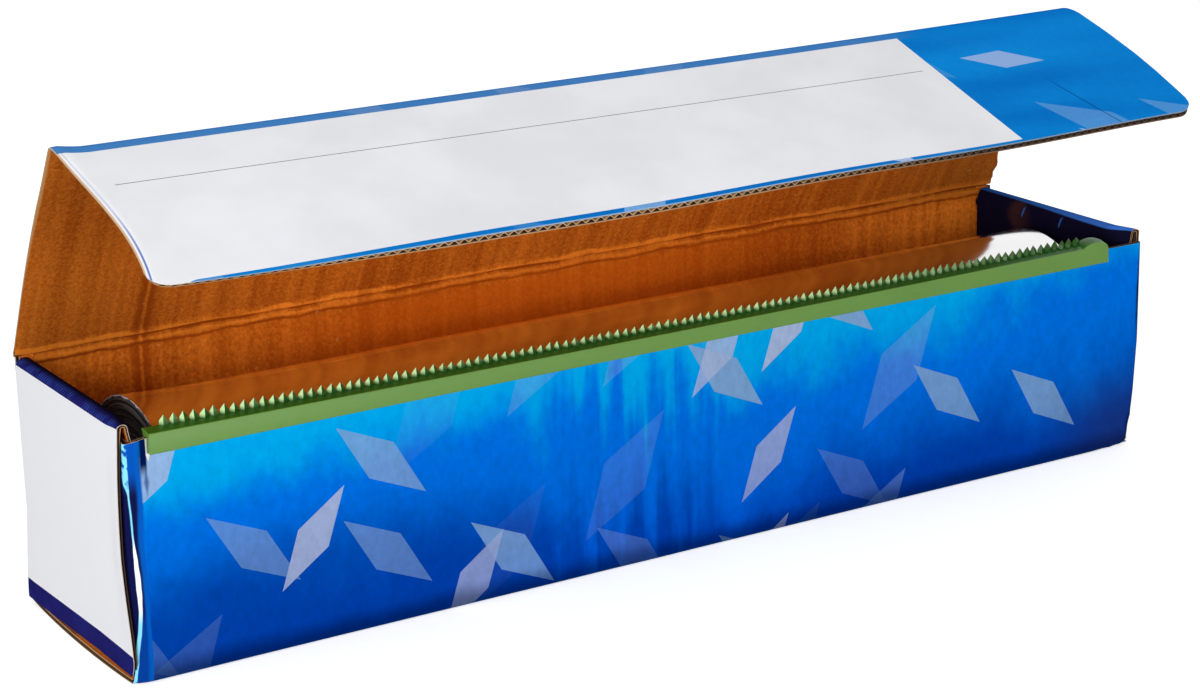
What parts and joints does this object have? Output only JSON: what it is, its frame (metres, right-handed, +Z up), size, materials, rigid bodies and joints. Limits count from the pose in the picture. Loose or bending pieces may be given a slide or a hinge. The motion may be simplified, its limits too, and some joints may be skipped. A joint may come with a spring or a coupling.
{
  "type": "aluminium foil roll",
  "caption": "Roll of household aluminium foil in its open corrugated carton, with a hinged lid and front flap and a toothed plastic cutter strip on the front wall.",
  "frame": {"origin": "middle of the carton's underside, halfway between its end walls and between its front and back walls", "axes": "+X along the carton to its right end as seen from the front, +Y to the back wall with the lid's hinge, +Z up"},
  "size_m": [0.3059, 0.0958, 0.1216],
  "materials": {
    "film_blue": "glossy metallised blue film on corrugated board",
    "kraft": "matt brown kraft liner of corrugated board",
    "label_white": "satin white print on corrugated board",
    "green_plastic": "satin moulded plastic",
    "foil": "bright rolled foil",
    "core_board": "matt grey wound board"
  },
  "bodies": {
    "carton": {"carton_body": "film_blue", "cutter_strip": "green_plastic", "foil_roll": "foil", "core_tube": "core_board"},
    "lid": {"lid_panel": "kraft"},
    "front_flap": {"lid_front_flap": "label_white"}
  },
  "joints": [
    {"name": "lid_hinge", "type": "hinge", "parent": "carton", "child": "lid", "pos_m": [0, 0.0326, 0.0641], "axis": [1, 0, 0], "range_deg": [-123, 55.3]},
    {"name": "flap_hinge", "type": "hinge", "parent": "lid", "child": "front_flap", "pos_m": [0, -0.00514, 0.12125], "axis": [1, 0, 0], "range_deg": [-75.6, 14.3]}
  ]
}
